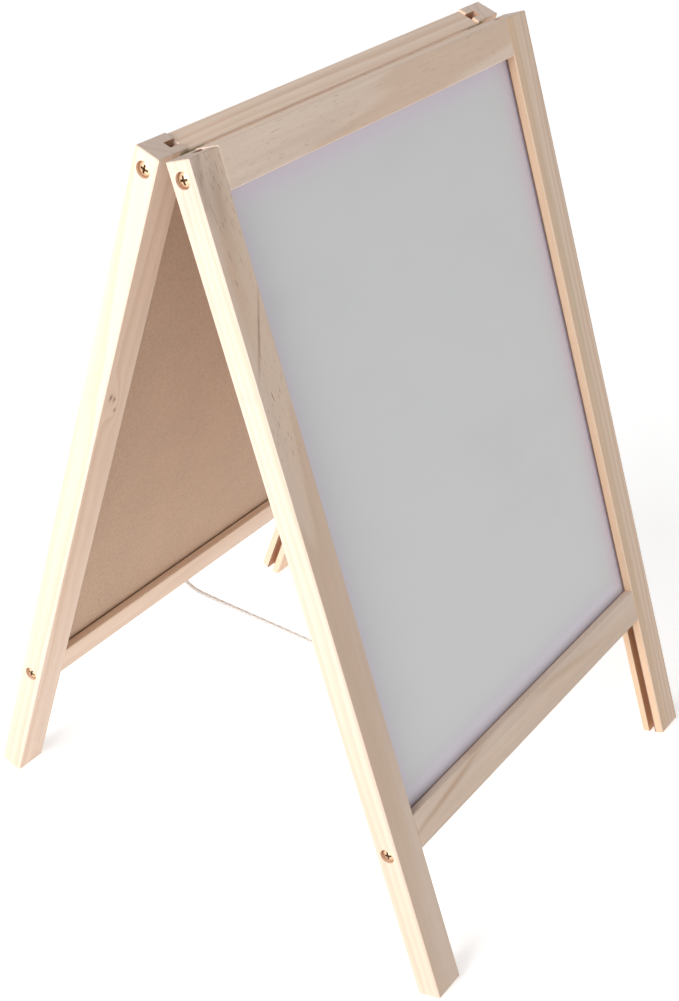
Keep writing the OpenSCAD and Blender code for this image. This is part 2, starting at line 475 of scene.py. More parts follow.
@dataclass(frozen=True)
class Pine:
    """Pale sanded pine. Growth rings lie round a pith that runs along the piece, outside it.

    The densities of its patterns are in features per metre across, outwards and along.
    """

    name: str
    pith: tuple[float, float]
    lean: float = 0.0
    ring: float = 0.0055
    warmth: float = 0.3
    tone: float = 1.0
    flecks: float = 0.12
    flecked_from: float = -1.0
    heart: float = 0.0
    shift: float = 0.0
    knots: tuple[Knot, ...] = ()
    streaks: tuple[Streak, ...] = ()
    early: Colour = (0.85, 0.685, 0.565)
    late: Colour = (0.69, 0.46, 0.31)
    warm: Colour = (0.83, 0.61, 0.45)
    grey: Colour = (0.64, 0.51, 0.425)
    fleck: Colour = (0.3, 0.16, 0.09)
    knot: Colour = (0.22, 0.1, 0.05)
    heartwood: Colour = (0.79, 0.54, 0.35)
    end: Colour = (0.8, 0.64, 0.55)
    # Colour of the painted shade in the groove, and of the browner bores.
    burnt: Colour = (0.48, 0.22, 0.095)
    # Colour of the painted shadow line along the gap by the board.
    stain: Colour = (0.17, 0.07, 0.045)
    # Colour of the long edges: wear, and a painted highlight on the eased corners.
    rubbed: Colour = (0.93, 0.8, 0.69)
    fibre_density: Triple = (1100.0, 1100.0, 45.0)
    cloud_density: Triple = (42.0, 42.0, 3.0)
    grey_density: Triple = (150.0, 150.0, 4.0)
    fleck_density: Triple = (1300.0, 1300.0, 130.0)
    patch_density: Triple = (45.0, 45.0, 12.0)
    wander_density: Triple = (30.0, 30.0, 28.0)
    bend_density: Triple = (16.0, 16.0, 2.2)
    bend: float = 0.03
    relief: float = 0.00014

    def dress(self, grain: Grain, milling: Milling) -> bpy.types.Material:
        """Makes the wood for one piece.

        The distance from the pith, bent by slow noise, counts the years. Within a year the wood
        darkens slowly towards its latewood and then drops back, more in some years than others.
        Fibres, warm and grey streaks, resin flecks and knots lie over that. The edge towards the
        heart is warmer, end grain is pinker, and the long edges are paler, as wear and as a painted
        highlight on their eased corners. The groove is darkened with painted shade, the bores are
        browner, and a painted shadow line runs beside the groove where the board meets it.

        Args:
            grain: the piece's middle, with its third column along the fibres.
            milling: the cuts in the piece.

        Returns:
            The material.
        """
        shader = Shader.material(self.name)
        spot = grain.spot(shader)
        moved = shader.vector("ADD", spot.place, (self.shift, 0.7 * self.shift, 1.3 * self.shift))

        line = self._latewood(spot, moved)
        fibre = shader.noise(moved, self.fibre_density, 3.0)
        cloud = shader.rise(shader.noise(moved, self.cloud_density), 0.38, 0.64)
        streak = shader.rise(shader.noise(moved, self.grey_density), 0.5, 0.72)
        fleck = shader.rise(shader.noise(moved, self.fleck_density, 1.0), 0.62, 0.72)
        patch = shader.rise(shader.noise(moved, self.patch_density), 0.4, 0.56)
        upper = shader.rise(spot.along, self.flecked_from, self.flecked_from + 0.1)
        flecked = fleck * patch * upper * milling.broad(spot) * self.flecks

        colour = shader.mixed(cloud * self.warmth, self.early, self.warm)
        colour = shader.mixed(milling.inner(spot) * self.heart, colour, self.heartwood)
        colour = shader.mixed(line, colour, self.late)
        colour = shader.mixed(streak * 0.28, colour, self.grey)
        wander = shader.noise(moved, self.wander_density)
        for stripe in self.streaks:
            mask = stripe.mask(spot, wander) * (0.55 + 0.9 * fibre)
            colour = shader.mixed(mask, colour, stripe.colour)
        colour = shader.scaled(colour, self.tone * (0.93 + 0.14 * fibre))
        colour = shader.mixed(flecked, colour, self.fleck)
        for knot in self.knots:
            colour = shader.mixed(knot.peak(spot, 1.0, math.sqrt(3.0)) * 0.85, colour, self.knot)

        cut = shader.scaled(self.end, self.tone * (1.04 - 0.16 * line - 0.08 * fibre))
        colour = shader.mixed(self._end_grain(shader, grain) * 0.85, colour, cut)
        arris = milling.arris(spot)
        # Paler long edges: a painted highlight on the eased corners, and wear.
        colour = shader.mixed(arris * 0.6, colour, self.rubbed)
        # Painted shade in the groove, and the browner bores.
        colour = shader.mixed(milling.burnish(spot) * 0.62, colour, self.burnt)
        # Painted shadow: a dark line along the gap between the board and the groove's outer wall.
        colour = shader.mixed(milling.seam(spot) * 0.9, colour, self.stain)

        rough = 0.6 - 0.2 * line + 0.12 * fibre
        height = 0.6 * fibre + 0.5 * line - 0.5 * flecked - arris
        sockets = {"Base Color": colour, "Roughness": rough, "Specular IOR Level": 0.3}
        return shader.surface(sockets, height, self.relief)

    def _latewood(self, spot: Spot, moved: Signal) -> Signal:
        """How strongly the dark part of a year's ring shows.

        The year is sqrt(sideways2 + inward2) / ring, the two being distances from the
        wandering pith, and a knot pushes it outwards. Each year's vigour is its own random
        number, and the line's strength goes with the square of it.

        Args:
            spot: the shaded point.
            moved: its place, shifted to the piece's own stretch of wood.

        Returns:
            The line, from 0 in early wood.
        """
        shader = spot.shader
        bend = shader.noise(moved, self.bend_density).out("Color")
        bend_across, bend_out, _ = shader.split(bend)
        sideways = spot.across - self.pith[0] - spot.along * self.lean
        inward = spot.outward - self.pith[1] + (bend_out - 0.5) * self.bend
        years = shader.reach(sideways + (bend_across - 0.5) * self.bend, inward) / self.ring
        for knot in self.knots:
            years = years + knot.peak(spot, 4.0, 12.0) * 0.8
        phase = shader.math("FRACT", years)
        late = shader.rise(phase, 0.12, 0.84) * shader.fall(phase, 0.86, 1.0)
        year = shader.math("FLOOR", years) + self.shift
        one_way = {"noise_dimensions": "1D"}
        vigour = shader.node("ShaderNodeTexWhiteNoise", one_way, {"W": year})
        return late * (0.1 + 0.5 * vigour * vigour)

    def _end_grain(self, shader: Shader, grain: Grain) -> Signal:
        """1 where the surface faces along the fibres, by the size of normal . along.

        Args:
            shader: the shader that reads the normal.
            grain: the piece's directions.

        Returns:
            The mask.
        """
        normal = shader.node("ShaderNodeTexCoord", output="Normal")
        sockets = {0: normal, 1: tuple(grain.turn.col[2])}
        dot = {"operation": "DOT_PRODUCT"}
        facing = shader.node("ShaderNodeVectorMath", dot, sockets, "Value")
        return shader.rise(abs(facing), 0.75, 0.95)


@dataclass(frozen=True)
class Hardboard:
    """Pressed fibre board: brown, with a fine mottle of light fibres and dark specks."""

    name: str
    body: Colour = (0.516, 0.36, 0.258)
    light: Colour = (0.618, 0.453, 0.336)
    dark: Colour = (0.3, 0.2, 0.135)
    cloud_density: Triple = (28.0, 28.0, 28.0)
    mottle_density: Triple = (520.0, 520.0, 520.0)
    fibre_density: Triple = (1500.0, 1500.0, 420.0)
    crossed_density: Triple = (420.0, 1500.0, 1500.0)
    speck_density: Triple = (260.0, 260.0, 260.0)
    relief: float = 0.00012

    def dress(self, grain: Grain) -> bpy.types.Material:
        """Makes the board: slow clouds, fibres at two sizes and a scatter of dark specks.

        Args:
            grain: the board's middle and directions.

        Returns:
            The material.
        """
        shader = Shader.material(self.name)
        place = grain.spot(shader).place
        cloud = shader.noise(place, self.cloud_density, 3.0)
        mottle = shader.noise(place, self.mottle_density, 3.0)
        fibres = shader.noise(place, self.fibre_density, 2.0)
        crossed = shader.noise(place, self.crossed_density, 2.0)
        speck = shader.fall(shader.cells(place, self.speck_density), 0.1, 0.24)
        scatter = speck * shader.rise(mottle, 0.5, 0.62)

        colour = shader.mixed(shader.rise(mottle, 0.34, 0.68) * 0.5, self.body, self.light)
        colour = shader.scaled(colour, 0.82 + 0.16 * cloud + 0.1 * fibres + 0.1 * crossed)
        colour = shader.mixed(scatter * 0.65, colour, self.dark)
        height = 0.5 * mottle + 0.25 * fibres + 0.25 * crossed
        rough = 0.72 + 0.12 * mottle
        sockets = {"Base Color": colour, "Roughness": rough, "Specular IOR Level": 0.3}
        return shader.surface(sockets, height, self.relief)


@dataclass(frozen=True)
class Opening:
    """The stretch of a board that shows inside its frame: half its width and half its height."""

    half_width: float
    half_height: float

    def edge(self, spot: Spot, reach: float) -> Signal:
        """1 at the frame's inner edges, and 0 from reach inwards.

        The nearest edge is at the smaller of half_width - |across| and half_height - |along|.

        Args:
            spot: the shaded point.
            reach: how far from the edges the mask ends.

        Returns:
            The mask.
        """
        side = self.half_width - abs(spot.across)
        end = self.half_height - abs(spot.along)
        return spot.shader.fall(spot.shader.math("MINIMUM", side, end), 0.0, reach)


@dataclass(frozen=True)
class WhiteFilm:
    """Satin melamine film of the drawing board, with wiped-out marks, painted lilac shade near the
    frame and painted paler light at its foot.
    """

    name: str
    opening: Opening
    body: Colour = (0.715, 0.718, 0.722)
    # Colour of the painted shade near the frame.
    rim: Colour = (0.735, 0.67, 0.785)
    # Colour of the painted light at the foot of the board.
    foot: Colour = (0.92, 0.88, 0.98)
    ghost: Colour = (0.67, 0.675, 0.68)
    rim_reach: float = 0.018
    foot_reach: float = 0.014
    ghost_density: Triple = (9.0, 9.0, 22.0)
    hair_density: Triple = (60.0, 60.0, 2600.0)
    peel_density: Triple = (240.0, 240.0, 240.0)
    relief: float = 0.00002

    def dress(self, grain: Grain) -> bpy.types.Material:
        """Makes the film: painted lilac shade at the rim, painted paler light at the foot, wiping
        ghosts, hairlines and orange peel.

        Args:
            grain: the opening's middle and directions.

        Returns:
            The material.
        """
        shader = Shader.material(self.name)
        spot = grain.spot(shader)
        rim = self.opening.edge(spot, self.rim_reach)
        foot = shader.fall(self.opening.half_height + spot.along, 0.0, self.foot_reach)
        ghost = shader.rise(shader.noise(spot.place, self.ghost_density, 3.0), 0.5, 0.75)
        hair = shader.rise(shader.noise(spot.place, self.hair_density, 1.0), 0.72, 0.8)
        peel = shader.noise(spot.place, self.peel_density, 1.0)

        colour = shader.mixed(ghost * 0.35, self.body, self.ghost)
        # Painted shade: a lilac tint near the frame's inner edges.
        colour = shader.mixed(rim * 0.9, colour, self.rim)
        # Painted light: paler towards the bottom edge, against the shade of the bottom rail.
        colour = shader.mixed(foot, colour, self.foot)
        colour = shader.mixed(hair * 0.12, colour, self.ghost)
        rough = 0.34 + 0.1 * ghost + 0.12 * hair
        sockets = {"Base Color": colour, "Roughness": rough, "Specular IOR Level": 0.4}
        return shader.surface(sockets, peel, self.relief)


@dataclass(frozen=True)
class ChalkPaint:
    """Matt board paint with wiped chalk dust."""

    name: str
    opening: Opening
    paint: Colour = (0.022, 0.027, 0.026)
    dust: Colour = (0.2, 0.205, 0.2)
    edge_reach: float = 0.03
    swirl: float = 0.16
    swirl_density: Triple = (5.0, 5.0, 5.0)
    stroke_density: Triple = (14.0, 14.0, 34.0)
    cloud_density: Triple = (9.0, 9.0, 9.0)
    tooth_density: Triple = (2100.0, 2100.0, 2100.0)
    relief: float = 0.00005

    def dress(self, grain: Grain) -> bpy.types.Material:
        """Makes the paint: dust in broad wiped strokes, gathered at the edges, on a fine tooth.

        Args:
            grain: the opening's middle and directions.

        Returns:
            The material.
        """
        shader = Shader.material(self.name)
        spot = grain.spot(shader)
        drift = shader.scaled(shader.noise(spot.place, self.swirl_density).out(1), self.swirl)
        swirled = shader.vector("ADD", spot.place, drift)
        strokes = shader.noise(swirled, self.stroke_density, 5.0)
        cloud = shader.noise(spot.place, self.cloud_density, 2.0)
        tooth = shader.noise(spot.place, self.tooth_density, 2.0)
        edge = self.opening.edge(spot, self.edge_reach)
        dust = shader.rise(strokes * 0.6 + cloud * 0.4, 0.4, 0.72) * (0.5 + tooth)
        amount = 0.2 * dust + 0.12 * edge * (0.5 + tooth)

        colour = shader.mixed(amount, self.paint, self.dust)
        rough = 0.82 + 0.1 * tooth
        sockets = {"Base Color": colour, "Roughness": rough, "Specular IOR Level": 0.25}
        return shader.surface(sockets, tooth, self.relief)


@dataclass(frozen=True)
class Recess:
    """A cross recess in a screw head that faces across its pattern: its crown and its size."""

    crown: float
    facing: int
    radius: float = 0.0026
    shallow: float = 0.0005
    deep: float = 0.0011
    slack: float = 0.0003

    def mask(self, spot: Spot) -> Signal:
        """1 in the recess: inside its radius, and between shallow and deep under the crown.

        Args:
            spot: the shaded point.

        Returns:
            The mask.
        """
        under = self.crown - spot.across * self.facing
        reach = spot.shader.reach(spot.outward, spot.along)
        inside = spot.shader.fall(reach, self.radius, self.radius + self.slack)
        return spot.shader.rise(under, self.shallow, self.deep) * inside


@dataclass(frozen=True)
class Metal:
    """Plated metal with a fine brushed grain and dull patches."""

    name: str
    bright: Colour
    dull: Colour
    polish: float
    # Colour of the painted shade in a screw's cross recess.
    grime: Colour = (0.27, 0.15, 0.08)
    patch_density: Triple = (320.0, 320.0, 320.0)
    brush_density: Triple = (900.0, 900.0, 900.0)
    relief: float = 0.00001

    def dress(self, grain: Grain, recess: Recess | None = None) -> bpy.types.Material:
        """Makes the metal: patches of the dull tone, rougher where dull, and a fine grain.

        Args:
            grain: the piece's middle and directions.
            recess: the recess of a screw head, where painted shade darkens the plating.

        Returns:
            The material.
        """
        shader = Shader.material(self.name)
        spot = grain.spot(shader)
        patch = shader.rise(shader.noise(spot.place, self.patch_density, 3.0), 0.35, 0.7)
        line = shader.noise(spot.place, self.brush_density, 2.0)
        colour = shader.mixed(patch * 0.7, self.bright, self.dull)
        colour = shader.scaled(colour, 0.9 + 0.2 * line)
        if recess is not None:
            # Painted shade in the screw's cross recess.
            colour = shader.mixed(recess.mask(spot), colour, self.grime)
        rough = self.polish + 0.16 * patch + 0.1 * line
        sockets = {"Base Color": colour, "Roughness": rough, "Metallic": 1.0}
        return shader.surface(sockets, line, self.relief)


@dataclass(frozen=True)
class Cotton:
    """Cream cotton of the braided cord. It reads the cord's own UV map and groove attribute."""

    name: str
    crown: Colour = (0.9, 0.885, 0.865)
    # Colour of the painted shade between the strands.
    groove: Colour = (0.62, 0.605, 0.585)
    groove_attribute: str = "groove"
    yarns_round: float = 24.0
    fluff_density: Triple = (60.0, 9000.0, 1.0)
    soil_density: Triple = (3.0, 60.0, 1.0)
    relief: float = 0.00008

    def dress(self, twist: float) -> bpy.types.Material:
        """Makes the cotton: painted shade between the strands, with fine yarns and fluff.

        Args:
            twist: yarns per metre of cord.

        Returns:
            The material.
        """
        shader = Shader.material(self.name)
        uv = shader.node("ShaderNodeTexCoord", output="UV")
        named = {"attribute_name": self.groove_attribute}
        deep = shader.node("ShaderNodeAttribute", named, output="Fac")
        turns, along, _ = shader.split(uv)
        winding = along * (twist * math.tau) + turns * (self.yarns_round * math.tau)
        yarn = shader.math("SINE", winding)
        fluff = shader.noise(uv, self.fluff_density, 3.0)
        soil = shader.noise(uv, self.soil_density, 2.0)

        # Painted shade: the cord is darker where its surface lies deep between strands.
        colour = shader.mixed(shader.rise(deep, 0.25, 0.95), self.crown, self.groove)
        colour = shader.scaled(colour, 0.88 + 0.04 * yarn + 0.08 * fluff + 0.05 * soil)
        height = 0.5 + 0.3 * yarn + 0.3 * fluff
        rough = 0.8 + 0.15 * fluff
        sockets = {"Base Color": colour, "Roughness": rough, "Specular IOR Level": 0.2}
        return shader.surface(sockets, height, self.relief)


# ---------------------------------------------------------------- places in the frame


class Face(Enum):
    """One of the two frames, by the side of the hinge that it leans to."""

    FRONT = -1
    REAR = 1

    @property
    def word(self) -> str:
        """The frame's name in node names."""
        return self.name.lower()

    @property
    def body(self) -> str:
        """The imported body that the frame's pieces ride on."""
        return f"{self.word}_frame"


class Side(Enum):
    """Left or right, as seen from in front of the white board."""

    LEFT = -1
    RIGHT = 1

    @property
    def word(self) -> str:
        """The side's name in node names."""
        return self.name.lower()


class Run(Enum):
    """Which way a timber's fibres run in its frame."""

    UP = "up"
    ACROSS = "across"


def node_points(name: str) -> np.ndarray:
    """Reads the vertices of a CAD node at rest.

    Args:
        name: the node's name.

    Returns:
        The points, one row each.
    """
    mesh = frame["nodes"][name].data
    points = np.empty(3 * len(mesh.vertices))
    mesh.vertices.foreach_get("co", points)
    return points.reshape(-1, 3)


def paint(name: str, material: bpy.types.Material) -> None:
    """Gives a CAD node one material in place of its plain one.

    Args:
        name: the node's name.
        material: its new material.
    """
    mesh = frame["nodes"][name].data
    mesh.materials.clear()
    mesh.materials.append(material)


@dataclass(frozen=True)
class LeaningSpace:
    """Space of one tilted frame: outwards from the easel and up along the stiles."""

    face: Face
    pin: Vector
    half_spread: float

    @property
    def outward(self) -> Vector:
        """Unit vector out of the easel, square to the frame's boards."""
        lean = self.half_spread
        return Vector((0.0, self.face.value * math.cos(lean), math.sin(lean)))

    @property
    def up(self) -> Vector:
        """Unit vector along the stiles, towards the hinges."""
        lean = self.half_spread
        return Vector((0.0, -self.face.value * math.sin(lean), math.cos(lean)))

    def turn(self, run: Run) -> Matrix:
        """Rotation whose columns are across the fibres, outwards and along the fibres."""
        along = self.up if run is Run.UP else self.up.cross(self.outward)
        return Matrix((self.outward.cross(along), self.outward, along)).transposed()

    def middle(self, name: str) -> Vector:
        """Centre of a node's box, with the box taken along this frame's own directions.

        Args:
            name: the node's name.

        Returns:
            The centre, in the easel's own axes.
        """
        turn = np.array(self.turn(Run.UP))
        local = node_points(name) @ turn
        return Vector(turn @ ((local.min(0) + local.max(0)) / 2))

    def extent(self, name: str) -> np.ndarray:
        """Size of a node along this frame's across, outward and up directions."""
        local = node_points(name) @ np.array(self.turn(Run.UP))
        return local.max(0) - local.min(0)

    def grain(self, name: str, run: Run = Run.UP) -> Grain:
        """Pattern place on a node's middle."""
        return Grain(self.middle(name), self.turn(run))


# ---------------------------------------------------------------- sub-assemblies


@dataclass(frozen=True)
class Joinery:
    """How the timbers are machined: the groove for the board, and the bores for the screw heads."""

    groove_in: float = 0.0048
    groove_width: float = 0.0046

    def milling(self, space: LeaningSpace, part: str) -> Milling:
        """The cuts in one timber, placed from its own size and from its screws.

        Args:
            space: the frame's space.
            part: the timber's name without its frame's name.

        Returns:
            The cuts, from the timber's middle.
        """
        word = space.face.word
        name = f"{word}_{part}"
        width, thickness, height = space.extent(name)
        wall = self.groove_in - thickness / 2
        walls = (wall, wall + self.groove_width)
        if part.endswith("rail"):
            return Milling(height / 2, thickness / 2, 1 if part.startswith("bottom") else -1, walls)
        side = Side[part.split("_")[0].upper()]
        middle = space.middle(name)
        screws = (space.middle(f"{word}_{level}_{side.word}_screw") for level in ("upper", "lower"))
        bores = tuple((screw - middle).dot(space.up) for screw in screws)
        return Milling(width / 2, thickness / 2, -side.value * space.face.value, walls, bores=bores)


@dataclass
class Timbers:
    """The four timbers of one frame, each cut from its own stretch of pine."""

    space: LeaningSpace
    woods: dict[str, Pine]
    joinery: Joinery = Joinery()

    def dress(self) -> None:
        """Gives each timber its own pine, with the fibres along it."""
        for part, wood in self.woods.items():
            name = f"{self.space.face.word}_{part}"
            run = Run.ACROSS if part.endswith("rail") else Run.UP
            milling = self.joinery.milling(self.space, part)
            paint(name, wood.dress(self.space.grain(name, run), milling))
            LOG.info("%s: pine, fibres %s", name, run.value)


@dataclass
class Panel:
    """The hardboard of one frame and the drawing surface on it."""

    space: LeaningSpace
    surface_node: str
    finish: type[WhiteFilm] | type[ChalkPaint]

    def opening(self) -> tuple[Vector, Opening]:
        """Finds the stretch of board that shows between the timbers.

        Returns:
            Its middle and its half sizes.
        """
        word = self.space.face.word
        stile = self.space.extent(f"{word}_left_stile")
        rail = self.space.extent(f"{word}_bottom_rail")
        left = self.space.middle(f"{word}_left_stile")
        right = self.space.middle(f"{word}_right_stile")
        top = self.space.middle(f"{word}_top_rail")
        bottom = self.space.middle(f"{word}_bottom_rail")
        width = (right - left).length - stile[0]
        height = (top - bottom).length - rail[2]
        return (top + bottom) / 2, Opening(width / 2, height / 2)

    def dress(self) -> None:
        """Paints the board's two layers."""
        board = f"{self.space.face.word}_board"
        paint(board, Hardboard(board).dress(self.space.grain(board)))
        middle, opening = self.opening()
        surface = self.finish(self.surface_node, opening)
        paint(self.surface_node, surface.dress(Grain(middle, self.space.turn(Run.UP))))
        shown = (2000 * opening.half_width, 2000 * opening.half_height)
        LOG.info("%s: %.0f x %.0f mm shows", self.surface_node, *shown)


@dataclass
class Fixings:
    """Frame screws, hinges and cord staples: CAD pieces that only need their metals."""

    spaces: dict[Face, LeaningSpace]
    zinc: Metal = Metal("yellow_zinc", (0.93, 0.72, 0.5), (0.72, 0.5, 0.33), 0.38)
    brass: Metal = Metal("dull_brass", (0.5, 0.46, 0.24), (0.26, 0.25, 0.13), 0.3)
    steel: Metal = Metal("bright_wire", (0.72, 0.71, 0.69), (0.5, 0.49, 0.47), 0.22)

    def dress(self) -> None:
        """Paints every screw, leaf, pin and staple."""
        for face, space in self.spaces.items():
            for side in Side:
                self._screws(space, side)
                self._hinge(space, side)
            self._paint(f"{face.word}_cord_staple", self.steel, space)

    def _screws(self, space: LeaningSpace, side: Side) -> None:
        """Paints the two frame screws of one stile.

        Args:
            space: the frame's space.
            side: the stile's side.
        """
        face = space.face
        for level in ("upper", "lower"):
            name = f"{face.word}_{level}_{side.word}_screw"
            recess = Recess(space.extent(name)[0] / 2, side.value * face.value)
            self._paint(name, self.zinc, space, recess)

    def _hinge(self, space: LeaningSpace, side: Side) -> None:
        """Paints one leaf with its screws, and the pin with the front leaf that holds it.

        Args:
            space: the frame's space.
            side: the hinge's side.
        """
        word = space.face.word
        pieces = [f"{word}_leaf", f"{word}_screws"]
        if space.face is Face.FRONT:
            pieces.append("pin")
        for piece in pieces:
            self._paint(f"{side.word}_hinge_{piece}", self.brass, space)

    def _paint(
        self, name: str, metal: Metal, space: LeaningSpace, recess: Recess | None = None
    ) -> None:
        """Paints one node with a metal centred on it."""
        paint(name, metal.dress(space.grain(name), recess))
        LOG.info("%s: %s", name, metal.name)


# The cord's route in metres, from its end under the front rail to its end under the rear rail
CORD_ROUTE = np.array([
    (-0.006, -0.144, 0.0872), (-0.006, -0.1396, 0.0857), (-0.006, -0.1356, 0.0841),
    (-0.006, -0.132, 0.0821), (-0.006, -0.128, 0.0809), (-0.006, -0.122, 0.0802),
    (-0.006, -0.112, 0.08), (-0.006, -0.096, 0.0799), (-0.006, -0.076, 0.0799),
    (-0.006, -0.05, 0.0799), (-0.006, -0.025, 0.0799), (-0.006, 0.0, 0.0799),
    (-0.006, 0.025, 0.0799), (-0.006, 0.05, 0.0799), (-0.006, 0.076, 0.0799),
    (-0.006, 0.096, 0.0799), (-0.006, 0.112, 0.08), (-0.006, 0.122, 0.0802),
    (-0.006, 0.128, 0.0809), (-0.006, 0.132, 0.0821), (-0.006, 0.1356, 0.0841),
    (-0.006, 0.1396, 0.0857), (-0.006, 0.144, 0.0872),
])


def smooth_route(points: np.ndarray, steps: int) -> np.ndarray:
    """Catmull-Rom curve through the points.

    Each stretch is the cubic that passes its two ends with the slopes of their neighbours:
    half of 2b + (c - a)t + (2a - 5b + 4c - d)t^2 + (3b - 3c + d - a)t^3.

    Args:
        points: the points that the curve passes, one row each.
        steps: how many pieces each stretch between two points is cut into.

    Returns:
        The curve's points, one row each.
    """
    padded = np.vstack([2 * points[0] - points[1], points, 2 * points[-1] - points[-2]])
    a, b, c, d = (padded[i : len(padded) - 3 + i, None] for i in range(4))
    t = (np.arange(steps) / steps)[None, :, None]
    curve = 2 * b + (c - a) * t + (2 * a - 5 * b + 4 * c - d) * t**2
    curve = (curve + (3 * b - 3 * c + d - a) * t**3) / 2
    return np.vstack([curve.reshape(-1, 3), points[-1]])


def respaced(points: np.ndarray, count: int) -> tuple[np.ndarray, np.ndarray]:
    """Puts points at equal distances on the same curve.

    Args:
        points: the curve's points, one row each.
        count: how many points the result has.

    Returns:
        The new points, and their distances from the curve's start.
    """
    lengths = np.append(0.0, np.cumsum(np.linalg.norm(np.diff(points, axis=0), axis=1)))
    distance = np.linspace(0.0, lengths[-1], count)
    even = np.column_stack([np.interp(distance, lengths, points[:, axis]) for axis in range(3)])
    return even, distance


def tube_mesh(name: str, rings: np.ndarray, ends: np.ndarray) -> bpy.types.Mesh:
    """Closed tube over a grid of rings, with a point at each end.

    Args:
        name: the mesh's name.
        rings: points, by ring, by place round the ring, by axis.
        ends: the first and the last pole.

    Returns:
        A smooth mesh whose faces point outwards.
    """
    count, sides, _ = rings.shape
    here = np.arange(count * sides).reshape(count, sides)
    side = np.roll(here, -1, axis=1)
    quads = np.stack([here[:-1], side[:-1], side[1:], here[1:]], axis=-1).reshape(-1, 4)
    first, last = count * sides, count * sides + 1
    start = np.stack([side[0], here[0], np.full(sides, first)], axis=-1)
    stop = np.stack([here[-1], side[-1], np.full(sides, last)], axis=-1)
    mesh = bpy.data.meshes.new(name)
    mesh.from_pydata(
        np.vstack([rings.reshape(-1, 3), ends]).tolist(),
        [],
        quads.tolist() + start.tolist() + stop.tolist(),
    )
    mesh.polygons.foreach_set("use_smooth", np.ones(len(mesh.polygons), bool))
    return mesh


